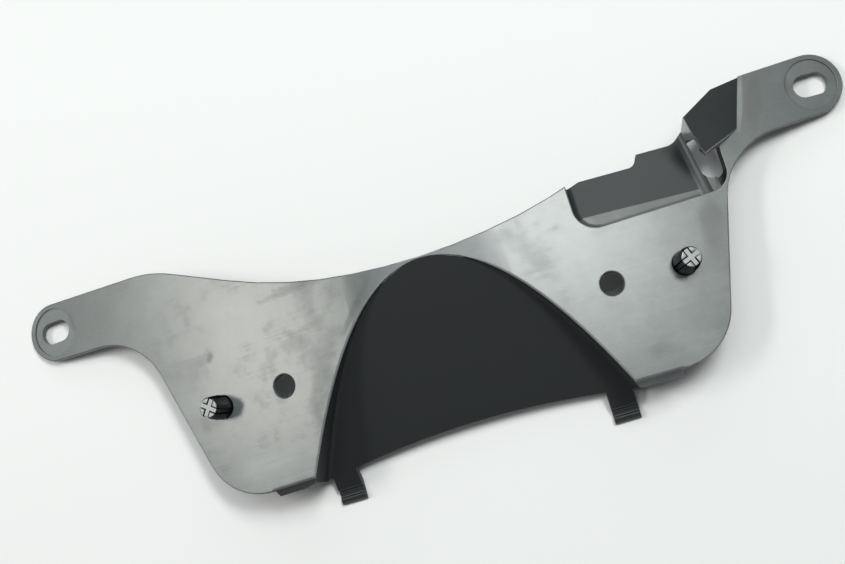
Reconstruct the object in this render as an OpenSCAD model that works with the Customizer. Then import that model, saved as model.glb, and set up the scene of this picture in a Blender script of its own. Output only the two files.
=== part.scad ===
// Fairing inner panel: a thin arched moulding with two slotted ears, a deep central scoop,
// two hooks that rest on the table, a pocket and a hood on the right arm, and two push rivets.
// The arch runs from left to right, +Y is the edge that carries the arms, and the lower
// tips of the ears and the hooks stand at z = 0.

/* [Shell] */
// Thickness of the moulding
wall = 2.5; // [1.8:0.1:3]
// Slope of each wing below the level, degrees
wing_angle = 11.6; // [9:0.1:14]
// Radius of the crown between the two wings
crown_r = 150; // [80:1:220]

/* [Arms and ears] */
// Distance of each ear's centre from the middle
ear_x = 142.2; // [136:0.1:150]
// Distance of each ear's centre from the line of the wing holes
ear_y = 47.3; // [45:0.1:50]
// Radius of the ear's round end, half the width of the arm
ear_r = 10.7; // [10:0.1:12]
// Rise of the arm towards its ear in plan, degrees
arm_rise = 3.2; // [1:0.1:5]
// Radius of the shoulder on the top edge
shoulder_r = 45; // [20:1:60]
// Radius between the arm and the wing's outer edge
armpit_r = 25; // [15:1:27]

/* [Slots] */
// Width of the slot in each ear
slot_w = 8; // [6:0.1:9]
// Length of the slot from end to end
slot_l = 12.2; // [10:0.1:13]
// Radius of the sunk face round each slot
pad_r = 8.9; // [8:0.1:9.5]
// Depth of that sunk face
pad_depth = 0.5; // [0.2:0.1:1]

/* [Wings] */
// Height of the top edge above the hole line at the middle
waist_y = 26.8; // [26:0.1:29]
// Radius of the hollow top edge
waist_r = 162; // [140:1:175]
// Lean of the top edge between the hollow and the shoulder, degrees
waist_lean = 25; // [22:0.5:27]
// Half width of the panel along the hole line
wing_half = 97.7; // [96:0.1:102]
// Lean of each wing's outer edge, degrees
wing_lean = 16.7; // [12:0.1:19]
// Distance of the bottom edge below the hole line
bottom_y = 33; // [32.5:0.1:34]
// Radius of each wing's bottom corner
corner_r = 21; // [10:1:22]

/* [Holes] */
// Diameter of the round holes
hole_d = 8; // [5:0.1:10]
// Distance from each riveted hole to the wing's edge
rivet_inset = 15.7; // [14:0.1:17]
// Distance between the riveted hole and the free hole
hole_spacing = 25; // [18:0.1:27]

/* [Scoop] */
// Height of the scoop's tip above the hole line
scoop_tip = 26.2; // [25:0.1:26.4]
// Half width of the scoop at the hole line
scoop_half = 36.8; // [30:0.1:37.5]
// Fall of the scoop's floor, degrees
scoop_fall = 23.2; // [20:0.1:23.5]
// Distance of the scoop's bottom edge below the hole line, at the middle
scoop_edge = 29.4; // [28:0.1:30]
// Radius of that hollow edge
scoop_edge_r = 312; // [280:1:400]

/* [Lips and hooks] */
// Distance of each lip's square end from the middle
lip_end = 71; // [64:0.1:72]
// Slope of the lip below the wing, degrees
lip_angle = 50; // [35:1:60]
// Length of the lip down its slope
lip_l = 3.6; // [2:0.1:4.5]
// Distance of each hook's centre from the middle
hook_at = 49.4; // [46:0.1:49.6]
// Width of the hooks
hook_w = 9.2; // [6:0.1:10]
// Distance of the hooks' ends below the hole line
hook_end = 43.6; // [42.5:0.1:46]
// Distance of the hook's step below the hole line
hook_step = 38.6; // [37:0.1:39.4]
// Length of the groove behind the hook's nose
hook_groove = 2.9; // [2:0.1:3]
// Thickness left under that groove
hook_web = 1.3; // [0.8:0.1:1.6]
// Height of the nose at the hook's end
hook_nose = 2.3; // [1.8:0.1:2.6]

/* [Pocket] */
// Distance of the pocket's left wall from the middle
pocket_left = 52.8; // [51:0.1:56]
// Narrowest rim between the pocket and the outer edge
pocket_rim = 1.2; // [1:0.1:3]
// Height of the pocket's lower wall above the hole line, at its left end
pocket_low = 19.1; // [17:0.1:20]
// Rise of that wall towards its right end
pocket_rise = 1.8; // [1:0.1:2.5]
// Radius of the pocket's left corner
pocket_r = 7.5; // [4:0.1:9]
// Radius of the pocket's right corner
pocket_end_r = 7; // [6:0.1:8]
// Depth of the pocket's floor below the wing
pocket_depth = 6; // [4:0.1:7]
// Height of the floor's free edge above the hole line
floor_edge = 37.4; // [36:0.1:38.5]
// Height of that edge beyond its step
floor_edge_high = 41.3; // [40.5:0.1:42]
// Distance of the step from the middle
floor_step_at = 78.8; // [70:0.1:82]
// Width of the opening beside the pocket's right wall, at its lower end
gate_w = 7.3; // [5:0.1:8]
// Height of the opening's lower end above the hole line
gate_low = 25.8; // [24.5:0.1:27]
// Lean of the opening's left edge, degrees
gate_lean = 8.5; // [5:0.5:10]
// Height of the ramp that rises from the floor to the opening
ramp_h = 2.7; // [1.5:0.1:3.5]
// Radius of the ramp's hollow face
ramp_r = 4; // [3.5:0.1:5]

/* [Hood] */
// Tilt of the hood above the wing, degrees
hood_tilt = 35; // [30:0.5:38]
// Turn of the fold between arm and hood, degrees
fold_turn = 19.6; // [17:0.1:22]
// Distance of the fold's lower end from the middle, along the wing
fold_x = 115.7; // [114.5:0.1:117]
// Height of the fold's lower end above the hole line
fold_y = 39.2; // [38.5:0.1:40]
// Length of the fold
fold_len = 18.5; // [17:0.1:19]
// Height of the hood's side at its free end
hood_lip = 3; // [2.6:0.1:5]

/* [Push rivets] */
// Diameter of the split shank
shank_d = 7.6; // [4.5:0.1:7.8]
// Height of the shank's end above the wing
shank_h = 9.6; // [7:0.1:12]
// Diameter of the flange under the wing
flange_d = 15; // [13:0.1:17]
// Thickness of that flange
flange_t = 1.5; // [1:0.1:2]
// Diameter of the centre pin
pin_d = 4; // [3:0.1:4.2]
// Thickness of the pin's four fins and width of the gaps that they stand in
fin_t = 1.1; // [0.8:0.1:1.3]
// Diameter of the pin's head
pin_head_d = 8.4; // [7:0.1:11]
// Thickness of the pin's head
pin_head_t = 1.2; // [0.8:0.1:1.6]
// Gap between the pin and the rivet's legs
rivet_gap = 0.15; // [0.1:0.05:0.25]

/* [Hidden] */
$fn = 64;
round_steps = 12;
scoop_steps = 24;
crown_steps = 12;
tall = 200;

// Heights: the ears' lower tips stand at zero.
ear_tip = ear_x + ear_r;
ridge_z = ear_tip * tan(wing_angle) + wall / cos(wing_angle);
crown_z = ridge_z - crown_r / cos(wing_angle) + crown_r;
crown_half = crown_r * sin(wing_angle);
mid_y = (ear_y + ear_r - hook_end) / 2;

panel_colour = "#56585a";
rivet_colour = "#17181a";
pin_colour = "#2b2c2e";

function unit(v) = v / norm(v);
// Points along the arc that rounds corner b of the path a, b, c. The radius is b[2].
function rounded_corner(a, b, c) =
    let (p = [b[0], b[1]], u = unit([a[0], a[1]] - p), v = unit([c[0], c[1]] - p),
         half = acos(max(-1, min(1, u * v))) / 2, mid = p + unit(u + v) * b[2] / sin(half),
         s = p + u * b[2] / tan(half) - mid, turn = 180 - 2 * half, way = sign(s[1] * u[0] - s[0] * u[1]))
    [for (i = [0:round_steps]) let (t = way * turn * i / round_steps)
        mid + [s[0] * cos(t) - s[1] * sin(t), s[0] * sin(t) + s[1] * cos(t)]];
// A closed outline from corners [x, y, radius]; a corner without a radius stays sharp.
function rounded(c) = let (n = len(c)) [for (i = [0:n - 1])
    each (len(c[i]) > 2 ? rounded_corner(c[(i + n - 1) % n], c[i], c[(i + 1) % n]) : [[c[i][0], c[i][1]]])];
// The point where a line through p at angle s meets a line through q at angle t.
function meet(p, s, q, t) = let (d = [cos(s), sin(s)], e = [cos(t), sin(t)], w = q - p)
    p + d * (w[0] * e[1] - w[1] * e[0]) / (d[0] * e[1] - d[1] * e[0]);

// Corners of the right half of the panel, from the middle of the top edge to the bottom edge.
waist = [0, waist_y - waist_r * (1 / cos(waist_lean) - 1)];
arm_way = [cos(arm_rise), sin(arm_rise)];
arm_side = [-sin(arm_rise), cos(arm_rise)];
ear = [ear_x, ear_y];
shoulder = meet(waist, waist_lean, ear + ear_r * arm_side, arm_rise);
armpit = meet([wing_half, 0], 90 - wing_lean, ear - ear_r * arm_side, arm_rise);
armpit_mid = meet([wing_half + armpit_r / cos(wing_lean), 0], 90 - wing_lean,
    ear - (ear_r + armpit_r) * arm_side, arm_rise);
foot = meet([wing_half, 0], 90 - wing_lean, [0, -bottom_y], 0);
ear_top = ear + ear_r * (arm_way + arm_side);
ear_low = ear + ear_r * (arm_way - arm_side);
half_outline = [[shoulder[0], shoulder[1], shoulder_r],
    [ear_top[0], ear_top[1], ear_r * 0.999], [ear_low[0], ear_low[1], ear_r * 0.999],
    [armpit[0], armpit[1], armpit_r], [foot[0], foot[1], corner_r]];
panel_outline = rounded(concat([[waist[0], waist[1], waist_r]], half_outline,
    [for (i = [len(half_outline) - 1:-1:0]) [-half_outline[i][0], half_outline[i][1], half_outline[i][2]]]));

// The arch's section, offset by depth below its outer face.
function arch_line(depth) = let (r = crown_r - depth, reach = ear_tip + 5,
        mid = [0, ridge_z - crown_r / cos(wing_angle)],
        end_z = ridge_z - depth / cos(wing_angle) - reach * tan(wing_angle))
    concat([[-reach, end_z]], [for (i = [-crown_steps:crown_steps])
        mid + r * [sin(i * wing_angle / crown_steps), cos(i * wing_angle / crown_steps)]], [[reach, end_z]]);

// Height of a point that lies d above the wing's outer face, at distance x from the middle.
function wing_z(x, d) = ridge_z - x * tan(wing_angle) + d / cos(wing_angle);
// Riveted and free holes, measured along the wing.
rivet_at = wing_half / cos(wing_angle) - rivet_inset;
hole_at = rivet_at - hole_spacing;
// The pocket's right corner keeps its rim to the arc between arm and wing.
pocket_end_y = pocket_low + pocket_rise + pocket_end_r;
pocket_right = pocket_end_r + armpit_mid[0]
    - sqrt(pow(armpit_r + pocket_end_r + pocket_rim, 2) - pow(armpit_mid[1] - pocket_end_y, 2));
gate_left = pocket_right - gate_w;

// The scoop's rim is a parabola; spread sets a line that far outside it.
function rim_point(x, spread) = let (k = 2 * scoop_tip * x / pow(scoop_half, 2), s = sqrt(1 + k * k))
    [x + spread * k / s, scoop_tip * (1 - pow(x / scoop_half, 2)) + spread / s];
scoop_reach = scoop_half * sqrt(1 + (bottom_y + 3 * wall) / scoop_tip);

// Corners of the hood in plan: fold top, kink, crest top, crest bottom and fold bottom.
fold_low = [fold_x * cos(wing_angle), fold_y];
fold_top = fold_low + fold_len * [sin(fold_turn) * cos(wing_angle), cos(fold_turn)];
hood_kink = fold_low + fold_len * [-0.292, 0.724];
crest_top = fold_low + fold_len * [-0.968, 0.249];
crest_mid = fold_low + fold_len * [-0.88, -0.12];
crest_low = fold_low + fold_len * [-0.757, -0.405];
// Height above the wing's face of the hood's point that stands over a point in plan.
function hood_rise(p) = let (q = p - fold_low, t = tan(hood_tilt))
    t * (q[1] * sin(fold_turn) - q[0] * cos(fold_turn) / cos(wing_angle))
        / (1 - t * tan(wing_angle) * cos(fold_turn));
crest_rise = hood_rise(crest_low);
rivet_split = shank_h - 1.2;

module column(z0 = -1) {
    translate([0, 0, z0]) linear_extrude(height = tall) children();
}
// Everything under the arch's outer face, less a depth.
module under_arch(depth) {
    rotate([90, 0, 0]) translate([0, 0, -tall / 2]) linear_extrude(height = tall)
        polygon(concat(arch_line(depth), [[ear_tip + 5, -tall / 2], [-ear_tip - 5, -tall / 2]]));
}
module layer(top, bottom) {
    difference() {
        under_arch(top);
        under_arch(bottom);
    }
}
module on_wing(side) {
    mirror([side < 0 ? 1 : 0, 0, 0]) translate([0, 0, ridge_z]) rotate([0, wing_angle, 0]) children();
}
module on_hood() {
    on_wing(1) translate([fold_x, fold_y, 0]) rotate([0, 0, -fold_turn]) rotate([0, hood_tilt, 0]) children();
}
module under_hood(depth) {
    on_hood() translate([-tall / 2, -tall / 2, -tall - depth]) cube(tall);
}
module on_scoop() {
    translate([0, scoop_tip, crown_z]) rotate([scoop_fall, 0, 0]) children();
}
module under_scoop(depth) {
    on_scoop() translate([-tall / 2, -tall / 2, -tall - depth]) cube(tall);
}

module rim_shape(spread) {
    polygon([for (i = [-scoop_steps:scoop_steps]) rim_point(scoop_reach * i / scoop_steps, spread)]);
}
module bottom_hollow() {
    translate([0, -scoop_edge - scoop_edge_r, -1]) cylinder(r = scoop_edge_r, h = tall, $fn = 256);
}
module scoop_tray() {
    difference() {
        intersection() {
            column() intersection() {
                rim_shape(wall);
                union() {
                    polygon(panel_outline);
                    translate([-scoop_reach - wall, -bottom_y - 8]) square([2 * (scoop_reach + wall), bottom_y]);
                }
            }
            under_arch(0);
        }
        under_scoop(wall);
        bottom_hollow();
        // Past the wing's bottom edge the walls end below the lips.
        intersection() {
            layer(-wall, wall);
            column() translate([-ear_x, -bottom_y - 4 * wall]) square([2 * ear_x, 4 * wall]);
        }
    }
}
module scoop_space() {
    difference() {
        column() rim_shape(0);
        under_scoop(0);
    }
}

module lip(side) {
    lip_start = rim_point(scoop_reach, 0)[0] - 4;
    run = (lip_end - lip_start) / cos(wing_angle);
    on_wing(side) translate([lip_start / cos(wing_angle), -bottom_y, 0]) rotate([lip_angle, 0, 0])
        translate([0, -lip_l, -wall]) cube([run, lip_l, wall]);
}

// Side view of a hook, from the scoop's floor to its nose.
module hook(side) {
    step_z = crown_z - (scoop_tip + hook_step) * tan(scoop_fall);
    root = scoop_edge + 1.5;
    root_z = crown_z - (scoop_tip + root) * tan(scoop_fall);
    nose = hook_step + hook_groove;
    translate([side * hook_at + hook_w / 2, 0, 0]) rotate([90, 0, -90]) linear_extrude(height = hook_w)
        polygon([[root, root_z], [hook_step, step_z], [hook_step + 0.4, hook_web + 0.4],
            [nose - 0.7, hook_web], [nose, hook_nose], [hook_end - 0.4, hook_web + 0.5], [hook_end, hook_web],
            [hook_end, 0], [hook_step - 1.5, 0], [root, root_z - wall / cos(scoop_fall)]]);
}

module pocket_shape(spread) {
    polygon(rounded([[pocket_left - spread, 2 * ear_y], [pocket_left - spread, pocket_low - spread, pocket_r + spread],
        [pocket_right + spread, pocket_low + pocket_rise - spread, pocket_end_r + spread],
        [pocket_right + spread, 2 * ear_y]]));
}
// The pocket's floor ends at a free edge with one step, and turns up into the hood's wall.
module floor_shape() {
    polygon(rounded([[pocket_left - wall, 0], [pocket_left - wall, floor_edge], [floor_step_at - 2, floor_edge, 3],
        [floor_step_at, floor_edge_high], [crest_top[0] - 1.6 * wall, floor_edge_high, 6],
        crest_top + wall * [0.2, 0.3], [ear_x, crest_top[1] + 0.3 * wall], [ear_x, 0]]));
}
module gate_shape() {
    rise = 2 * ear_y - gate_low;
    polygon(rounded([[gate_left - rise * tan(gate_lean), 2 * ear_y], [gate_left, gate_low, gate_w * 0.49],
        [pocket_right, gate_low, gate_w * 0.49], [pocket_right, 2 * ear_y]]));
}
module pocket_tray() {
    difference() {
        intersection() {
            column() intersection() {
                pocket_shape(wall);
                polygon(panel_outline);
            }
            layer(0, pocket_depth + wall);
        }
        column() difference() {
            translate([pocket_left, 0]) square([ear_x, 70]);
            floor_shape();
        }
        column() gate_shape();
    }
}
module pocket_space() {
    difference() {
        column() pocket_shape(0);
        under_arch(pocket_depth);
    }
}
// The floor rises in a hollow ramp to the opening's left edge.
module ramp() {
    run = sqrt(2 * ramp_r * ramp_h - ramp_h * ramp_h);
    lean = gate_left - (pocket_low - gate_low) * tan(gate_lean);
    difference() {
        intersection() {
            layer(pocket_depth - ramp_h, pocket_depth + wall);
            column() intersection() {
                translate([lean - run, pocket_low]) rotate(gate_lean)
                    square([2 * run, floor_edge_high]);
                pocket_shape(wall / 2);
                floor_shape();
            }
        }
        column() gate_shape();
        on_wing(1) translate([(lean - run) / cos(wing_angle) + pocket_depth * tan(wing_angle), pocket_low,
            ramp_r - pocket_depth]) rotate([-90, 0, gate_lean]) translate([0, 0, -floor_edge])
                cylinder(r = ramp_r, h = 3 * floor_edge);
    }
}

module hood_plate() {
    intersection() {
        column() polygon([fold_top + 0.6 * [1, 0], hood_kink, crest_top, crest_low, fold_low + 0.6 * [1, 0]]);
        difference() {
            under_hood(0);
            under_hood(wall);
        }
    }
}
// An upright wall from one point in plan to the next, to the left of that line. Its side
// view is a polygon of [distance, height] and its top follows the hood.
module upright(from, to, side_view) {
    way = to - from;
    intersection() {
        translate([from[0], from[1], 0]) rotate([90, 0, atan2(way[1], way[0])]) translate([0, 0, -wall])
            linear_extrude(height = wall) polygon(side_view);
        under_hood(0);
    }
}
module hood() {
    crest_len = norm(crest_mid - crest_top);
    side_len = norm(fold_low - crest_low);
    gap = side_len * (pocket_right - crest_low[0]) / (fold_low[0] - crest_low[0]);
    top = ridge_z + wall;
    hood_plate();
    // The left wall stands on the floor and on the ramp, and ends in a slanting edge.
    difference() {
        upright(crest_top, crest_mid, [[0, 0], [0.45 * crest_len, 0], [0.45 * crest_len,
            wing_z(crest_top[0], ramp_h - pocket_depth)], [crest_len, wing_z(crest_mid[0], hood_rise(crest_mid) - wall)],
            [crest_len, top], [0, top]]);
        under_arch(pocket_depth + wall);
    }
    // The lower side stands on the arm, and its edge climbs over the opening to the crest.
    upright(crest_low, fold_low, [[0, wing_z(crest_low[0], crest_rise - hood_lip)], [gap, wing_z(pocket_right, 0)],
        [gap, wing_z(pocket_right, -wall)], [side_len, wing_z(fold_low[0], -wall)], [side_len, top], [0, top]]);
}
// Room for the hood in the arm's skin.
module hood_room() {
    column() polygon([fold_low, fold_low + 40 * [sin(fold_turn) * cos(wing_angle), cos(fold_turn)],
        [gate_left - 20, 90], [gate_left - 20, crest_low[1]], crest_low]);
}

module ear_slot(side) {
    half = (slot_l - slot_w) / 2;
    on_wing(side) translate([ear_x / cos(wing_angle), ear_y, 0]) {
        for (s = [-1, 1]) translate([s * half, 0, -2 * wall]) cylinder(d = slot_w, h = 4 * wall);
        translate([-half, -slot_w / 2, -2 * wall]) cube([2 * half, slot_w, 4 * wall]);
        translate([0, 0, -pad_depth]) cylinder(r = pad_r, h = wall);
    }
}
module wing_hole(side, at) {
    on_wing(side) translate([at, 0, -2 * wall]) cylinder(d = hole_d, h = 4 * wall);
}

module panel() {
    color(panel_colour) translate([0, -mid_y, 0]) difference() {
        union() {
            difference() {
                union() {
                    intersection() {
                        column() polygon(panel_outline);
                        layer(0, wall);
                    }
                    for (side = [-1, 1]) lip(side);
                    scoop_tray();
                }
                scoop_space();
                bottom_hollow();
                hood_room();
                column() pocket_shape(0);
            }
            difference() {
                pocket_tray();
                pocket_space();
            }
            ramp();
            hood();
            for (side = [-1, 1]) hook(side);
        }
        for (side = [-1, 1]) {
            ear_slot(side);
            wing_hole(side, hole_at);
            wing_hole(side, rivet_at);
        }
    }
}

module rivet_place(side) {
    translate([0, -mid_y, 0]) on_wing(side) translate([rivet_at, 0, 0]) children();
}
// Two crossed slots between the rivet's legs, which also take the pin's fins.
module fins(width, thick, low, high) {
    for (turn = [45, 135]) rotate([0, 0, turn])
        translate([-width / 2, -thick / 2, low]) cube([width, thick, high - low]);
}
module rivet_body(side) {
    leg_low = -wall - 0.2;
    color(rivet_colour) rivet_place(side) difference() {
        union() {
            translate([0, 0, -wall - flange_t]) cylinder(d = flange_d, h = flange_t);
            translate([0, 0, -wall - flange_t]) cylinder(d = shank_d, h = wall + flange_t + rivet_split);
            translate([0, 0, rivet_split]) cylinder(d1 = shank_d, d2 = shank_d - 1, h = shank_h - rivet_split);
            translate([0, 0, 1]) cylinder(d1 = shank_d, d2 = hole_d + 0.6, h = 1.6);
            translate([0, 0, 2.6]) cylinder(d1 = hole_d + 0.6, d2 = shank_d, h = 1.2);
        }
        translate([0, 0, -wall - flange_t - 1]) cylinder(d = pin_d + 2 * rivet_gap, h = tall);
        fins(2 * hole_d, fin_t + 2 * rivet_gap, leg_low + 0.4, tall);
    }
}
module rivet_pin(side) {
    head_low = -wall - flange_t - pin_head_t;
    color(pin_colour) rivet_place(side) {
        translate([0, 0, head_low]) cylinder(d = pin_head_d, h = pin_head_t);
        translate([0, 0, head_low]) cylinder(d = pin_d, h = shank_h - 0.4 - head_low);
        fins(shank_d - 1, fin_t, -wall + 0.6, shank_h - 0.4);
    }
}
module rivet_body_left() { rivet_body(-1); }
module rivet_pin_left() { rivet_pin(-1); }
module rivet_body_right() { rivet_body(1); }
module rivet_pin_right() { rivet_pin(1); }

panel();
rivet_body_left();
rivet_pin_left();
rivet_body_right();
rivet_pin_right();
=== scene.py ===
"""Fairing inner panel: the dressed model of a moulded motorbike panel and its two push rivets."""

import math

import bmesh
import bpy
from bpy.props import FloatProperty, FloatVectorProperty, PointerProperty
from mathutils import Matrix, Vector


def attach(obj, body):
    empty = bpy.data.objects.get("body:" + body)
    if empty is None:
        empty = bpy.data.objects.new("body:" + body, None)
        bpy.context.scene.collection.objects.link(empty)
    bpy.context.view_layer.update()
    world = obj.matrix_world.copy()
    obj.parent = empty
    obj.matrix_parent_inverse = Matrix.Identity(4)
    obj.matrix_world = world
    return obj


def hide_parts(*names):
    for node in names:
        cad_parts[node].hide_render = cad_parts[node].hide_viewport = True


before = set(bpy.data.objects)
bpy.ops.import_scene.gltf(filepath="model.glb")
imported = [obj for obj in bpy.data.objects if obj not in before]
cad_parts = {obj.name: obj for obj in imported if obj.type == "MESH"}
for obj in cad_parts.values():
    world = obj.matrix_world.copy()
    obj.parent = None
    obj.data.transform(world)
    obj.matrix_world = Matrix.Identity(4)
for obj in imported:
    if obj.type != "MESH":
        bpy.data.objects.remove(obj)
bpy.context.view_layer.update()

bl_info = {
    "name": "Fairing inner panel",
    "version": (1, 0, 0),
    "blender": (4, 5, 0),
    "location": "3D View > Sidebar > Fairing",
    "description": "Builds a moulded fairing inner panel with its push rivets, and a stage for it",
    "category": "Mesh",
}

MM = 0.001


# ---- the solids' shape, in mm, where the pieces have to find their edges

# y counts from the line through the four holes, here and in the rules further down. The frame's y is MID_Y less.
MID_Y = 7.2
WALL = 2.5
WING_ANGLE = math.radians(11.6)
CROWN_R = 150.0
EAR_TIP = 152.9
RIDGE_Z = EAR_TIP * math.tan(WING_ANGLE) + WALL / math.cos(WING_ANGLE)
CROWN_Z = RIDGE_Z - CROWN_R / math.cos(WING_ANGLE) + CROWN_R
SCOOP_TIP = 26.2
SCOOP_HALF = 36.8
SCOOP_FALL = math.radians(23.2)
# The bottom edge carries a hook on each side, and a lip from there to the bottom corner.
BOTTOM_Y = -33.0
HOOK_FROM = 40.0
HOOK_TO = 58.0
LIP_TO = 72.5
# The pocket: its ends in x, how far its rounded left end and its flat floor reach, its lower side, the upper side
# of the band on its floor that is painted pale as a painted highlight, and its depth.
POCKET_FROM = 52.0
POCKET_END_TO = 60.0
POCKET_TO = 95.0
POCKET_FLOOR_TO = 95.3
POCKET_LOW_Y = 19.2
POCKET_BAND_Y = 23.8
POCKET_FALL = 6.0 / math.cos(WING_ANGLE)
# The right arm: where its hood begins, how far the wall at its left, the ramp and the hood reach, and a line that
# the pocket, the opening and the hood all lie above.
HOOD_FROM = 94.0
HOOD_WALL_TO = 98.0
RAMP_TO = 104.0
HOOD_TO = 113.0
ARM_LOW_Y = 15.0
# The ears, whose slots stand in sunk round pads.
EAR_FROM = 130.0
EAR_AT = (142.2, 47.3)
PAD_R = 8.9

# The push rivets: their distance from the ridge along a wing, the turn of each, and their legs and fins. LEG_GAP
# and FIN_HALF are half widths.
RIVET_AT = 84.037
RIVET_TURNS = ((-1, "left", 54.0), (1, "right", 21.0))
SHANK_H = 9.6
LEG_GAP = 1.08
LEG_ROUNDING = 0.1
FIN_REACH = 3.1
FIN_HALF = 0.72
FIN_LOW = -1.5
FIN_H = SHANK_H + 1.3
FIN_ROUNDING = 0.12
# Outlines of the turned parts: radii, and heights over the wing's outer face.
LEGS = ((1.5, -2.8), (3.8, -2.8), (3.8, 1.0), (4.22, 2.3), (4.3, 2.9), (4.22, 4.2), (4.05, 5.8), (3.88, 7.4),
        (3.66, 8.8), (3.46, 9.35), (3.2, SHANK_H), (1.5, SHANK_H))
FLANGE = ((2.2, -2.54), (7.1, -2.54), (7.4, -2.66), (7.5, -2.95), (7.5, -3.3), (7.36, -3.66), (6.9, -3.86),
          (4.7, -4.0), (2.2, -4.0))
PIN_HEAD = ((0, -0.8), (1.2, -0.8), (1.45, -1.1), (1.45, -4.02), (3.95, -4.02), (4.14, -4.12), (4.2, -4.35),
            (4.2, -4.8), (4.06, -5.08), (3.7, -5.2), (0, -5.2))


# ---- how hazy, how pale with painted light and how round each zone of the panel is

# A face's normal tells where it looks: z over LOOKS_UP is an outer face or a floor, under STEEP a wall, and
# under LOOKS_DOWN the underside.
LOOKS_UP = 0.9
STEEP = 0.6
LOOKS_DOWN = -0.5
# Haze and painted light by zone: 0 is clean black plastic, and 1 is the wings' full colour, which is partly haze
# and partly a painted sheen. The ears, the walls, the ramp, the band on the pocket's floor and the hood's front are
# painted paler as painted reflections and highlights, and the right lip paler than the left as painted light.
HAZE_AND_SHEEN = {
    "wing": 0.95, "ear": 1.18, "opening_wall": 1.8, "hood_front": 1.6, "hood_side": 0.75, "hood_top": 0.1,
    "arm_wall": 1.1, "pocket_band": 0.5, "pocket_floor": 0.06, "pocket_end": 0.12, "ramp": 0.45, "pocket_wall": 0.9,
    "outline": 0.7, "left_lip": 0.05, "right_lip": 0.6,
    # The rounded edges, painted pale as painted highlights.
    "scoop_rim": 1.7, "pocket_rim": 1.3, "hook_edge": 0.45, "hood_edge": 1.5,
}
# Rounding by zone in mm, beside the radii that the settings give.
ROUNDING = {"hood": 0.32, "opening": 0.2, "hook": 0.25, "lip": 1.0, "corner": 0.3, "pocket": 2.2}
# Width of the bevel at an edge of full weight, in mm.
FULL_WEIGHT = 2.0
# Edges that bend less than FLAT_BEND stay as they are, and unrounded ones over SHARP_BEND are shaded sharp.
FLAT_BEND = math.radians(14)
SHARP_BEND = math.radians(30)
# The solid's mesh is cleaned: points this close are joined, edges this short go, and faces that bend less than
# SAME_FACE are one.
MERGE_DIST = 0.03
SHORT_EDGE = 0.02
SAME_FACE = math.radians(0.6)

# Marks on the wings, partly smudges and partly painted sheen and painted shade where the reflections fall: x and y in
# the frame in mm, half length and half width in mm, turn in degrees, gain of the haze.
SMUDGE_AND_SHEEN_MARKS = (
    # The crown, paler as a painted sheen.
    (0.0, 12.0, 34.0, 60.0, 0.0, 1.36),
    (-25.5, 10.2, 11.5, 1.9, 49.0, 0.62),
    (-68.0, 20.0, 16.0, 12.0, 20.0, 1.12),
    (-60.0, -30.0, 14.0, 5.0, 0.0, 1.12),
    (-75.0, -32.0, 8.0, 5.0, 0.0, 1.15),
    (79.0, -36.0, 8.0, 5.0, 20.0, 1.13),
    (27.5, 18.0, 4.5, 3.0, 0.0, 0.88),
    (36.0, 21.5, 8.0, 4.0, 10.0, 1.1),
    (-82.5, 10.7, 2.4, 1.5, 60.0, 0.78),
    (-45.0, 24.0, 18.0, 2.2, 4.0, 0.86),
    (-91.0, -9.0, 3.0, 8.0, 20.0, 0.9),
    (71.5, -6.5, 9.0, 5.0, -30.0, 1.1),
    (60.0, 11.0, 6.0, 2.2, 8.0, 0.84),
    (46.0, 15.0, 5.0, 2.6, -20.0, 0.88),
    (95.5, 3.0, 6.0, 13.0, -10.0, 0.62),
    (67.5, -32.5, 8.0, 3.0, -8.0, 0.8),
    (84.0, -9.0, 5.0, 3.5, 30.0, 0.9),
    (-44.0, -14.0, 9.0, 20.0, -10.0, 0.8),
    (-42.0, 21.0, 7.0, 9.0, 0.0, 0.88),
    (-88.0, 7.0, 9.0, 9.0, 0.0, 0.84),
    (-60.0, 2.0, 22.0, 16.0, 0.0, 0.94),
    (-73.0, -34.0, 15.0, 8.0, 0.0, 1.26),
    (78.0, -34.0, 13.0, 7.0, 0.0, 1.28),
    (70.0, 8.0, 10.0, 7.0, 0.0, 1.1),
    (48.0, 19.0, 13.0, 17.0, 0.0, 1.2),
    (131.0, 44.5, 5.5, 4.5, 10.0, 1.14),
    # Painted highlight along the hood's crease, and painted shade on the arm beside it.
    (117.2, 40.6, 11.5, 1.5, 70.8, 2.1),
    (121.8, 39.5, 14.0, 4.2, 70.8, 0.66),
    # Painted shade along the inner side of the ears' pads, where they step down.
    (133.9, 42.0, 5.2, 1.3, 80.0, 0.6),
    (-134.2, 41.2, 5.0, 1.4, 98.0, 0.6),
)


# ---- the stage

# Distance of every lamp from the origin, in metres.
LAMP_DISTANCE = 1.2
# Name, degrees across and degrees away from overhead, size in degrees, radiance with white at 1, colour.
SOFTBOXES = (
    ("window_left", -41.0, 14.0, (8.0, 18.0), 19.6, "#fffef6"),
    ("window_side", -58.0, 10.0, (16.0, 40.0), 0.9, "#f6faff"),
    ("window_right", 21.0, 20.0, (10.0, 20.0), 18.0, "#fbfffc"),
    ("window_right_low", 26.0, 11.0, (10.0, 12.0), 15.4, "#fbfffc"),
    ("ceiling", -10.0, 12.0, (22.0, 16.0), 3.1, "#f6fbff"),
    ("ceiling_right", 8.0, 12.0, (16.0, 16.0), 3.8, "#f6fbff"),
    ("window_back", -5.0, 60.0, (60.0, 24.0), 0.8, "#f6fbff"),
)
ROOM_COLOUR = "#d8dce0"
ROOM_LIGHT = 0.19
FLOOR_COLOUR = "#efefee"
# The floor's half width in mm.
FLOOR_HALF = 3000.0
# The camera's place in mm, and its axes: right, up and back.
CAMERA_AT = (50.1, -60.8, 407.31)
CAMERA_AXES = ((0.94414, -0.27564, -0.18062), (0.30188, 0.94323, 0.13854), (0.13218, -0.18532, 0.97375))


# ---- small helpers

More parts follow.
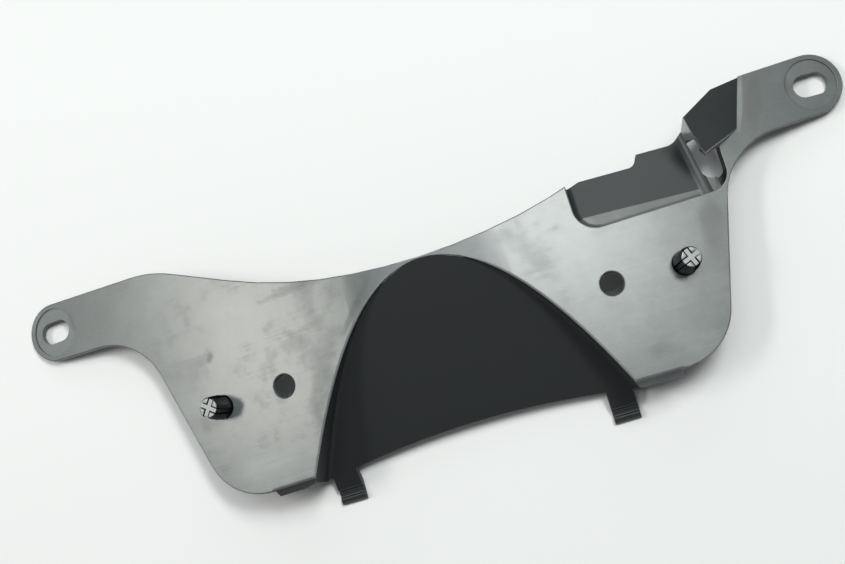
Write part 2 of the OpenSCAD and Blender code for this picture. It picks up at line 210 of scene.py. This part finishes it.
def linear(code):
    """sRGB hex colour as linear RGBA."""
    def channel(i):
        c = int(code[i:i + 2], 16) / 255
        return c / 12.92 if c <= 0.04045 else ((c + 0.055) / 1.055) ** 2.4
    return (channel(1), channel(3), channel(5), 1.0)


def wing_z(x):
    """Height of the arch's outer face in mm."""
    x = abs(x)
    half = CROWN_R * math.sin(WING_ANGLE)
    if x < half:
        return CROWN_Z - CROWN_R + math.sqrt(CROWN_R ** 2 - x ** 2)
    return RIDGE_Z - x * math.tan(WING_ANGLE)


def floor_z(y):
    """Height of the scoop's floor in mm."""
    return CROWN_Z - (SCOOP_TIP - y) * math.tan(SCOOP_FALL)


def rim_y(x):
    """Where the scoop's rim crosses x, in mm. It is a parabola in plan."""
    return SCOOP_TIP * (1 - (x / SCOOP_HALF) ** 2)


def axes_matrix(right, up, back):
    """Rotation that turns X, Y and Z to three axes."""
    return Matrix((right, up, back)).transposed().to_4x4()


def whole(bm):
    """All that a bmesh holds."""
    return bm.verts[:] + bm.edges[:] + bm.faces[:]


def finish_piece(name, bm, material, smooth=True):
    """Makes an object at the origin from a bmesh in millimetres."""
    bmesh.ops.scale(bm, vec=(MM, MM, MM), verts=bm.verts)
    mesh = bpy.data.meshes.new(name)
    bm.to_mesh(mesh)
    bm.free()
    for face in mesh.polygons:
        face.use_smooth = smooth
    mesh.materials.append(material)
    piece = bpy.data.objects.new(name, mesh)
    bpy.context.scene.collection.objects.link(piece)
    return piece


def paint_haze_and_sheen(bm, level):
    """Writes each face's haze and painted light, which a function gives, on its corners for the materials to read."""
    haze_and_sheen = bm.loops.layers.float.new("haze_and_sheen")
    for face in bm.faces:
        value = level(face)
        for loop in face.loops:
            loop[haze_and_sheen] = value


# ---- materials

def new_material(name):
    """An empty material and its node tree."""
    material = bpy.data.materials.new(name)
    material.use_nodes = True
    material.node_tree.nodes.clear()
    return material, material.node_tree


def add_node(tree, kind, settings=None, links=None, **attributes):
    """Adds one node, sets its sockets and attributes, and links its inputs."""
    node = tree.nodes.new(kind)
    for name, value in attributes.items():
        setattr(node, name, value)
    for key, value in (settings or {}).items():
        node.inputs[key].default_value = value
    for key, source in (links or {}).items():
        tree.links.new(source, node.inputs[key])
    return node


def noise(tree, place, settings):
    """Noise. In the object's own space a scale of 1000 has grains of about 1 mm."""
    return add_node(tree, "ShaderNodeTexNoise", settings, {"Vector": place}).outputs["Fac"]


def spread(tree, source, ends, low, high):
    """Maps a factor from between two ends to the range from low to high."""
    settings = {"From Min": ends[0], "From Max": ends[1], "To Min": low, "To Max": high}
    return add_node(tree, "ShaderNodeMapRange", settings, {"Value": source}).outputs[0]


def product(tree, a, b):
    """Two factors multiplied."""
    return add_node(tree, "ShaderNodeMath", links={0: a, 1: b}, operation="MULTIPLY").outputs[0]


def surface(tree, settings, links=None):
    """The material's shader, linked to its output."""
    bsdf = add_node(tree, "ShaderNodeBsdfPrincipled", settings, links)
    add_node(tree, "ShaderNodeOutputMaterial", links={"Surface": bsdf.outputs[0]})


def smudges_and_sheen(tree, place):
    """Dull and brighter patches, each an ellipse with a soft edge: partly smudges that wear and water have left,
    partly painted sheen and painted shade.
    """
    patches = None
    for x, y, half_long, half_wide, turn, gain in SMUDGE_AND_SHEEN_MARKS:
        near = add_node(tree, "ShaderNodeMapping",
                        {"Location": (x * MM, y * MM, 0.0), "Rotation": (0.0, 0.0, math.radians(turn)),
                         "Scale": (half_long * MM, half_wide * MM, 1.0)}, {"Vector": place}, vector_type="TEXTURE")
        reach = add_node(tree, "ShaderNodeVectorMath", links={0: near.outputs[0]}, operation="LENGTH")
        mark = add_node(tree, "ShaderNodeMapRange", {"From Min": 0.35, "From Max": 1.1, "To Min": gain, "To Max": 1.0},
                        {"Value": reach.outputs["Value"]}, interpolation_type="SMOOTHSTEP").outputs[0]
        patches = mark if patches is None else product(tree, patches, mark)
    return patches


def satin_plastic(settings):
    """Moulded ABS, black. Its outer faces have gone hazy and shine softly, and their paler colour is partly a painted
    sheen, with painted highlights on the rims, fine scuffs along the panel, dull smudges and painted shade; its deep
    faces are still dark and duller."""
    material, tree = new_material("Moulded ABS")
    place = add_node(tree, "ShaderNodeTexCoord").outputs["Object"]
    haze_and_sheen = add_node(tree, "ShaderNodeAttribute", attribute_name="haze_and_sheen").outputs["Fac"]
    # Cloudy haze in patches of about 30 mm.
    cloud = noise(tree, place, {"Scale": 32.0, "Detail": 4.0, "Roughness": 0.55})
    # Smudges and dried drops, 3 to 8 mm across.
    smudge = noise(tree, place, {"Scale": 150.0, "Detail": 3.0, "Roughness": 0.6})
    # Scuffs run along the panel, 30 mm long. Real ones are 0.05 mm apart and are drawn 0.6 mm apart,
    # which is as fine as the render shows.
    along = add_node(tree, "ShaderNodeMapping",
                     {"Rotation": (0.0, 0.0, math.radians(-4)), "Scale": (35.0, 1600.0, 35.0)}, {"Vector": place})
    scuff = noise(tree, along.outputs[0], {"Scale": 1.0, "Detail": 4.0, "Roughness": 0.6})
    # Moulded grain, 0.6 mm.
    grain = noise(tree, place, {"Scale": 1600.0, "Detail": 2.0})
    # The haze attribute and the marks carry real haze and smudges together with painted sheen, highlights and shade.
    amount = product(tree, haze_and_sheen, smudges_and_sheen(tree, place))
    for source, low, high in ((cloud, 0.84, 1.14), (smudge, 0.88, 1.08), (scuff, 0.95, 1.05)):
        amount = product(tree, amount, spread(tree, source, (0.32, 0.68), low, high))
    colour = add_node(tree, "ShaderNodeMix", {"A": tuple(settings.deep_colour), "B": tuple(settings.wing_colour)},
                      {"Factor": amount}, data_type="RGBA", clamp_factor=False)
    rough = spread(tree, amount, (0.0, 0.9), 0.58, 0.26)
    bump = add_node(tree, "ShaderNodeBump", {"Strength": 0.05, "Distance": 0.0002}, {"Height": scuff})
    fine = add_node(tree, "ShaderNodeBump", {"Strength": 0.06, "Distance": 0.0001},
                    {"Height": grain, "Normal": bump.outputs[0]})
    surface(tree, {"IOR": 1.54},
            {"Base Color": colour.outputs["Result"], "Roughness": rough, "Normal": fine.outputs[0]})
    return material


def shiny_plastic(name, dark, end_sheen, roughness):
    """Moulded nylon or acetal, black and shiny, with end faces painted pale as a painted reflection."""
    material, tree = new_material(name)
    place = add_node(tree, "ShaderNodeTexCoord").outputs["Object"]
    haze_and_sheen = add_node(tree, "ShaderNodeAttribute", attribute_name="haze_and_sheen").outputs["Fac"]
    # Rub marks 0.8 mm across.
    rub = noise(tree, place, {"Scale": 1200.0, "Detail": 3.0, "Roughness": 0.6})
    amount = product(tree, haze_and_sheen, spread(tree, rub, (0.3, 0.7), 0.75, 1.1))
    colour = add_node(tree, "ShaderNodeMix", {"A": dark, "B": end_sheen}, {"Factor": amount}, data_type="RGBA")
    rough = spread(tree, rub, (0.3, 0.7), roughness - 0.04, roughness + 0.06)
    bump = add_node(tree, "ShaderNodeBump", {"Strength": 0.1, "Distance": 0.0001}, {"Height": rub})
    surface(tree, {"IOR": 1.53},
            {"Base Color": colour.outputs["Result"], "Roughness": rough, "Normal": bump.outputs[0]})
    return material


def white_paper():
    """Matt white paper, clean, so that the part and its shadow are all that shows on it."""
    material, tree = new_material("White paper")
    surface(tree, {"Base Color": linear(FLOOR_COLOUR), "Roughness": 0.9})
    return material


# ---- settings

class FairingSettings(bpy.types.PropertyGroup):
    edge_radius: FloatProperty(name="Edge radius", description="Rounding of the free edges",
                               default=0.45 * MM, min=0.0, unit="LENGTH")
    rim_radius: FloatProperty(name="Rim radius", description="Rounding of the scoop's rim",
                              default=0.9 * MM, min=0.0, unit="LENGTH")
    hollow_radius: FloatProperty(name="Hollow radius", description="Fillet between walls and floors",
                                 default=1.5 * MM, min=0.0, unit="LENGTH")
    # The wing colour is paler than haze alone makes black plastic: part of it is a painted sheen.
    wing_colour: FloatVectorProperty(name="Wing colour", description="Hazed black plastic", size=4,
                                     subtype="COLOR", default=linear("#626867"))
    deep_colour: FloatVectorProperty(name="Deep colour", description="Clean black plastic", size=4,
                                     subtype="COLOR", default=linear("#1a1d20"))
    rivet_colour: FloatVectorProperty(name="Rivet colour", description="Black nylon of the rivets' bodies", size=4,
                                      subtype="COLOR", default=linear("#17181a"))
    pin_colour: FloatVectorProperty(name="Pin colour", description="Black acetal of the rivets' pins", size=4,
                                    subtype="COLOR", default=linear("#2b2c2e"))
    # The rivets' end faces are painted pale as a painted reflection.
    end_sheen_colour: FloatVectorProperty(name="End sheen colour", description="Rubbed end faces of the rivets", size=4,
                                     subtype="COLOR", default=linear("#9a9d9d"))


# ---- the panel

def face_haze_and_sheen(face):
    """How hazy a face of the panel has gone, with painted sheen, highlights and shade in the level, from where it lies
    and looks.
    """
    centre = face.calc_center_median()
    x, y = centre.x, centre.y + MID_Y
    fall = wing_z(x) - centre.z
    up = face.normal.z
    if up < LOOKS_DOWN:
        return 0.0
    if up > LOOKS_UP and abs(fall) < 0.7:
        return HAZE_AND_SHEEN["ear"] if abs(x) > EAR_FROM else HAZE_AND_SHEEN["wing"]
    if x > HOOD_FROM and y > POCKET_LOW_Y:
        if face.normal.x < -0.9 and x < HOOD_WALL_TO:
            return HAZE_AND_SHEEN["opening_wall"]
        if face.normal.y < -0.7 and fall < -0.5:
            return HAZE_AND_SHEEN["hood_front"]
        if fall < -0.8:
            return HAZE_AND_SHEEN["hood_side"] if up < STEEP else HAZE_AND_SHEEN["hood_top"]
        if up < STEEP and x < HOOD_TO and fall < 3:
            return HAZE_AND_SHEEN["arm_wall"]
    if POCKET_FROM < x < RAMP_TO and y > POCKET_LOW_Y and fall > 0.7:
        if up > LOOKS_UP and x < POCKET_FLOOR_TO:
            return HAZE_AND_SHEEN["pocket_band"] if y < POCKET_BAND_Y else HAZE_AND_SHEEN["pocket_floor"]
        if x < POCKET_END_TO:
            return HAZE_AND_SHEEN["pocket_end"]
        return HAZE_AND_SHEEN["ramp"] if x > POCKET_TO else HAZE_AND_SHEEN["pocket_wall"]
    if up < 0.5 and 0 < fall < WALL + 0.1 and y > rim_y(x) + 1 and abs(y - BOTTOM_Y) > 0.5:
        return HAZE_AND_SHEEN["outline"]
    if y < BOTTOM_Y + 0.2 and abs(x) > HOOK_TO:
        return HAZE_AND_SHEEN["right_lip"] if x > 0 else HAZE_AND_SHEEN["left_lip"]
    return 0.0


def edge_highlight(normal, centre):
    """Painted highlight on a rounded edge of the panel as a haze level, or None where it is as its neighbours are."""
    x, y = centre.x, centre.y + MID_Y
    rise = centre.z - wing_z(x)
    if abs(y - rim_y(x)) < 1.6 and y > BOTTOM_Y + 1 and abs(rise) < 0.8 and normal.z > 0.4:
        return HAZE_AND_SHEEN["scoop_rim"]
    if POCKET_FROM - 2 < x < POCKET_TO + 1 and y > ARM_LOW_Y and abs(rise) < 0.5 and normal.z > 0.4:
        return HAZE_AND_SHEEN["pocket_rim"]
    if y < BOTTOM_Y - 0.5 and HOOK_FROM < abs(x) < HOOK_TO and normal.z > 0.3:
        return HAZE_AND_SHEEN["hook_edge"]
    if x > HOOD_FROM and y > POCKET_LOW_Y and rise > 0.5 and normal.y < -0.3:
        return HAZE_AND_SHEEN["hood_edge"]
    return None


def edge_radius_mm(edge, settings):
    """Rounding in mm of one edge of the panel, from where it lies."""
    if edge.calc_face_angle(0.0) < FLAT_BEND:
        return 0.0
    a, b = (v.co for v in edge.verts)
    mid = (a + b) / 2
    x, y, z = mid.x, mid.y + MID_Y, mid.z
    top = wing_z(x)
    ups = [f.normal.z for f in edge.link_faces]
    if x > HOOD_FROM and y > ARM_LOW_Y:
        proud = ROUNDING["hood"] if z > top + 1 else ROUNDING["opening"]
        return proud if edge.is_convex and max(ups) > STEEP and edge.calc_length() > 0.6 else 0.0
    if y < BOTTOM_Y - 0.2 and HOOK_FROM < abs(x) < HOOK_TO:
        return ROUNDING["hook"]
    if abs(y - BOTTOM_Y) < 0.1 and abs(x) < LIP_TO and min(ups) > 0.4:
        return ROUNDING["lip"]
    if abs(y - rim_y(x)) < 0.6 and y > BOTTOM_Y - 0.6:
        # The scoop's rim and the fillet under it both shrink where the wall between them is low.
        deep = max(top - floor_z(y), 0.0)
        if abs(z - top) < 0.25:
            return min(settings.rim_radius / MM, 0.35 * deep)
        if abs(z - floor_z(y)) < 0.4:
            return min(settings.hollow_radius / MM, 0.45 * deep)
    if max(ups) < 0.5:
        return ROUNDING["corner"] if edge.is_convex else 0.0
    at_floor = POCKET_FROM < x < POCKET_TO and y > POCKET_LOW_Y and abs(z - top + POCKET_FALL) < 0.4
    if at_floor and not edge.is_convex:
        return ROUNDING["pocket"]
    if math.hypot(abs(x) - EAR_AT[0], y - EAR_AT[1]) < PAD_R + 0.4:
        return 0.0
    return settings.edge_radius / MM


def clean_solid():
    """The panel's solid in mm as a bmesh, with its triangles joined to flat faces."""
    bm = bmesh.new()
    bm.from_mesh(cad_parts["panel"].data)
    bmesh.ops.scale(bm, vec=(1 / MM,) * 3, verts=bm.verts)
    bmesh.ops.remove_doubles(bm, verts=bm.verts, dist=MERGE_DIST)
    bmesh.ops.dissolve_degenerate(bm, dist=SHORT_EDGE, edges=bm.edges)
    bmesh.ops.dissolve_limit(bm, angle_limit=SAME_FACE, verts=bm.verts, edges=bm.edges)
    # Joining close points can leave a triangle that hangs on one edge.
    stray = [f for f in bm.faces if sum(e.is_boundary for e in f.edges) > 1]
    bmesh.ops.delete(bm, geom=stray, context="FACES")
    return bm


def split_pocket_floor(bm):
    """Cuts the pocket's floor in two, so that a band of it can be painted pale as a painted highlight."""
    def is_floor(face):
        c = face.calc_center_median()
        return (face.normal.z > LOOKS_UP and POCKET_FROM < c.x < POCKET_TO and c.y + MID_Y > POCKET_LOW_Y
                and wing_z(c.x) - c.z > 4)
    floor = [f for f in bm.faces if is_floor(f)]
    edges = list(dict.fromkeys(e for f in floor for e in f.edges))
    verts = list(dict.fromkeys(v for f in floor for v in f.verts))
    bmesh.ops.bisect_plane(bm, geom=floor + edges + verts, dist=1e-4, plane_co=(0, POCKET_BAND_Y - MID_Y, 0),
                           plane_no=(0, 1, 0))


def weigh_edges(bm, settings):
    """Gives each edge its share of the bevel, and keeps the unrounded ones sharp in the shading."""
    weight = bm.edges.layers.float.new("bevel_weight_edge")
    for edge in bm.edges:
        if edge.is_manifold:
            edge[weight] = edge_radius_mm(edge, settings) / FULL_WEIGHT
            edge.smooth = edge[weight] > 0 or edge.calc_face_angle() < SHARP_BEND


def round_edges(piece, context):
    """Bevels the edges by their weights, and paints the rounded rims pale as painted highlights."""
    bevel = piece.modifiers.new("Rounding", "BEVEL")
    bevel.limit_method = "WEIGHT"
    bevel.width = FULL_WEIGHT * MM
    bevel.segments = 3
    bevel.use_clamp_overlap = False
    bevel.loop_slide = False
    # The rounded faces come out on a second slot, so that they can be found and given painted highlights.
    piece.data.materials.append(None)
    bevel.material = 1
    rounded = bpy.data.meshes.new_from_object(piece.evaluated_get(context.evaluated_depsgraph_get()))
    piece.modifiers.remove(bevel)
    piece.data = rounded
    values = rounded.attributes["haze_and_sheen"].data
    for face in rounded.polygons:
        value = edge_highlight(face.normal, face.center / MM) if face.material_index == 1 else None
        if value is not None:
            for corner in face.loop_indices:
                values[corner].value = value
        face.material_index = 0
    rounded.materials.pop(index=1)


class FAIRING_OT_panel(bpy.types.Operator):
    """Builds the moulded panel over its solid, with rounded rims and fillets"""
    bl_idname = "fairing.panel"
    bl_label = "Panel"

    def execute(self, context):
        s = context.scene.fairing
        bm = clean_solid()
        split_pocket_floor(bm)
        weigh_edges(bm, s)
        paint_haze_and_sheen(bm, face_haze_and_sheen)
        piece = finish_piece("panel_moulding", bm, satin_plastic(s))
        round_edges(piece, context)
        piece.modifiers.new("Normals", "WEIGHTED_NORMAL").keep_sharp = True
        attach(piece, "root")
        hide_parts("panel")
        return {"FINISHED"}


# ---- the push rivets

def turned_solid(outline, steps=40):
    """A solid of revolution about Z, from an outline of radii and heights in mm."""
    bm = bmesh.new()
    verts = [bm.verts.new((radius, 0.0, height)) for radius, height in outline]
    edges = [bm.edges.new((verts[i - 1], verts[i])) for i in range(len(verts))]
    bmesh.ops.spin(bm, geom=verts + edges, axis=(0, 0, 1), cent=(0, 0, 0), angle=2 * math.pi, steps=steps,
                   use_merge=True)
    bmesh.ops.remove_doubles(bm, verts=bm.verts, dist=1e-4)
    bmesh.ops.dissolve_degenerate(bm, dist=1e-4, edges=bm.edges)
    bmesh.ops.recalc_face_normals(bm, faces=bm.faces)
    return bm


def add_mesh(bm, other):
    """Adds one bmesh to another."""
    mesh = bpy.data.meshes.new("part")
    other.to_mesh(mesh)
    other.free()
    bm.from_mesh(mesh)
    bpy.data.meshes.remove(mesh)


def keep_side(bm, point, normal):
    """Cuts a solid by a plane, keeps the side that the normal points to and closes the cut."""
    bmesh.ops.bisect_plane(bm, geom=whole(bm), dist=1e-5, plane_co=point, plane_no=normal, clear_inner=True)
    bmesh.ops.holes_fill(bm, edges=[e for e in bm.edges if e.is_boundary])


def soften(bm, radius, angle=35):
    """Rounds the edges that are sharper than an angle."""
    sharp = [e for e in bm.edges if e.is_manifold and e.calc_face_angle(0.0) > math.radians(angle)]
    bmesh.ops.bevel(bm, geom=sharp, offset=radius, affect="EDGES", segments=2, profile=0.5, material=-1)


def split_legs():
    """The rivet's four legs, with slots for the pin between them."""
    bm = turned_solid(LEGS)
    keep_side(bm, (LEG_GAP, 0, 0), (1, 0, 0))
    keep_side(bm, (0, LEG_GAP, 0), (0, 1, 0))
    soften(bm, LEG_ROUNDING, angle=40)
    bmesh.ops.spin(bm, geom=whole(bm), axis=(0, 0, 1), cent=(0, 0, 0), angle=1.5 * math.pi, steps=3,
                   use_duplicate=True)
    return bm


def crossed_fins():
    """The pin's four fins, as one cross that stands between the legs."""
    bm = bmesh.new()
    bmesh.ops.create_grid(bm, x_segments=3, y_segments=3, size=1.0)
    for vert in bm.verts:
        for i in (0, 1):
            vert.co[i] = math.copysign(FIN_REACH if abs(vert.co[i]) > 0.5 else FIN_HALF, vert.co[i])
    corners = [f for f in bm.faces if min(abs(f.calc_center_median().x), abs(f.calc_center_median().y)) > 1]
    bmesh.ops.delete(bm, geom=corners, context="FACES")
    raised = bmesh.ops.extrude_face_region(bm, geom=bm.faces[:])["geom"]
    bmesh.ops.translate(bm, vec=(0, 0, FIN_H), verts=[g for g in raised if isinstance(g, bmesh.types.BMVert)])
    bmesh.ops.translate(bm, vec=(0, 0, FIN_LOW), verts=bm.verts)
    bmesh.ops.dissolve_limit(bm, angle_limit=math.radians(1), verts=bm.verts, edges=bm.edges)
    bmesh.ops.recalc_face_normals(bm, faces=bm.faces)
    soften(bm, FIN_ROUNDING)
    return bm


def seat_on_wing(bm, side, turn):
    """Turns a part about its own axis and stands it on a wing's outer face, in mm."""
    a = side * WING_ANGLE
    foot = Vector((side * RIVET_AT * math.cos(a), -MID_Y, RIDGE_Z - RIVET_AT * math.sin(WING_ANGLE)))
    tilt = Matrix.Rotation(a, 4, "Y")
    bmesh.ops.transform(bm, matrix=Matrix.Translation(foot) @ tilt @ Matrix.Rotation(math.radians(turn), 4, "Z"),
                        verts=bm.verts)


def end_face_sheen(face):
    """Full haze value on the end faces of the legs and fins, painted pale as a painted reflection."""
    return 1.0 if face.normal.z > LOOKS_UP and face.calc_center_median().z > SHANK_H - 1.0 else 0.0


class FAIRING_OT_rivets(bpy.types.Operator):
    """Builds the two push rivets, each a split body and a pin with crossed fins"""
    bl_idname = "fairing.rivets"
    bl_label = "Push rivets"

    def execute(self, context):
        s = context.scene.fairing
        nylon = shiny_plastic("Moulded nylon", tuple(s.rivet_colour), tuple(s.end_sheen_colour), 0.3)
        acetal = shiny_plastic("Moulded acetal", tuple(s.pin_colour), tuple(s.end_sheen_colour), 0.34)
        for side, label, turn in RIVET_TURNS:
            body = split_legs()
            add_mesh(body, turned_solid(FLANGE, steps=56))
            pin = crossed_fins()
            add_mesh(pin, turned_solid(PIN_HEAD))
            for kind, bm, material, slot in (("body", body, nylon, "rivet_plastic"),
                                             ("pin", pin, acetal, "pin_plastic")):
                paint_haze_and_sheen(bm, end_face_sheen)
                seat_on_wing(bm, side, turn)
                piece = finish_piece(f"push_rivet_{kind}_{label}", bm, material)
                piece.modifiers.new("Normals", "WEIGHTED_NORMAL")
                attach(piece, "root")
                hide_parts(f"rivet_{kind}_{label}")
        return {"FINISHED"}


# ---- the stage

def add_softbox(context, name, across, away, spans, radiance, colour):
    """Adds a lamp that faces the origin, with its size in degrees as seen from there."""
    lamp = bpy.data.lights.new(name, "AREA")
    lamp.shape = "RECTANGLE"
    lamp.size, lamp.size_y = (2 * LAMP_DISTANCE * math.tan(math.radians(span / 2)) for span in spans)
    lamp.energy = radiance * math.pi * lamp.size * lamp.size_y
    lamp.color = linear(colour)[:3]
    box = bpy.data.objects.new(name, lamp)
    out = Vector((math.tan(math.radians(across)), math.tan(math.radians(away)), 1.0)).normalized()
    right = Vector((0, 1, 0)).cross(out).normalized()
    box.matrix_world = Matrix.Translation(out * LAMP_DISTANCE) @ axes_matrix(right, out.cross(right), out)
    context.scene.collection.objects.link(box)


class FAIRING_OT_stage(bpy.types.Operator):
    """Sets the floor, the lights and the camera"""
    bl_idname = "fairing.stage"
    bl_label = "Stage"

    def execute(self, context):
        bm = bmesh.new()
        bmesh.ops.create_grid(bm, x_segments=1, y_segments=1, size=FLOOR_HALF)
        floor = finish_piece("floor", bm, white_paper(), smooth=False)
        for softbox in SOFTBOXES:
            add_softbox(context, *softbox)
        world = bpy.data.worlds.new("room")
        context.scene.world = world
        world.use_nodes = True
        world.node_tree.nodes["Background"].inputs["Color"].default_value = linear(ROOM_COLOUR)
        world.node_tree.nodes["Background"].inputs["Strength"].default_value = ROOM_LIGHT
        camera = bpy.data.cameras.new("camera")
        camera.lens = 50.0
        camera.sensor_width = 36.0
        camera.clip_end = 20.0
        eye = bpy.data.objects.new("camera", camera)
        eye.matrix_world = Matrix.Translation(Vector(CAMERA_AT) * MM) @ axes_matrix(*CAMERA_AXES)
        context.scene.collection.objects.link(eye)
        context.scene.camera = eye
        context.scene.view_settings.view_transform = "Standard"
        return {"FINISHED"}


class FAIRING_PT_sidebar(bpy.types.Panel):
    """Lists the pieces of the fairing panel"""
    bl_idname = "FAIRING_PT_sidebar"
    bl_label = "Fairing inner panel"
    bl_space_type = "VIEW_3D"
    bl_region_type = "UI"
    bl_category = "Fairing"

    def draw(self, context):
        for operator in (FAIRING_OT_panel, FAIRING_OT_rivets, FAIRING_OT_stage):
            self.layout.operator(operator.bl_idname)


CLASSES = (FairingSettings, FAIRING_OT_panel, FAIRING_OT_rivets, FAIRING_OT_stage, FAIRING_PT_sidebar)


def register():
    for cls in CLASSES:
        bpy.utils.register_class(cls)
    bpy.types.Scene.fairing = PointerProperty(type=FairingSettings)


def unregister():
    del bpy.types.Scene.fairing
    for cls in reversed(CLASSES):
        bpy.utils.unregister_class(cls)


def main():
    register()
    bpy.ops.fairing.panel()
    bpy.ops.fairing.rivets()
    bpy.ops.fairing.stage()


if __name__ == "__main__":
    main()
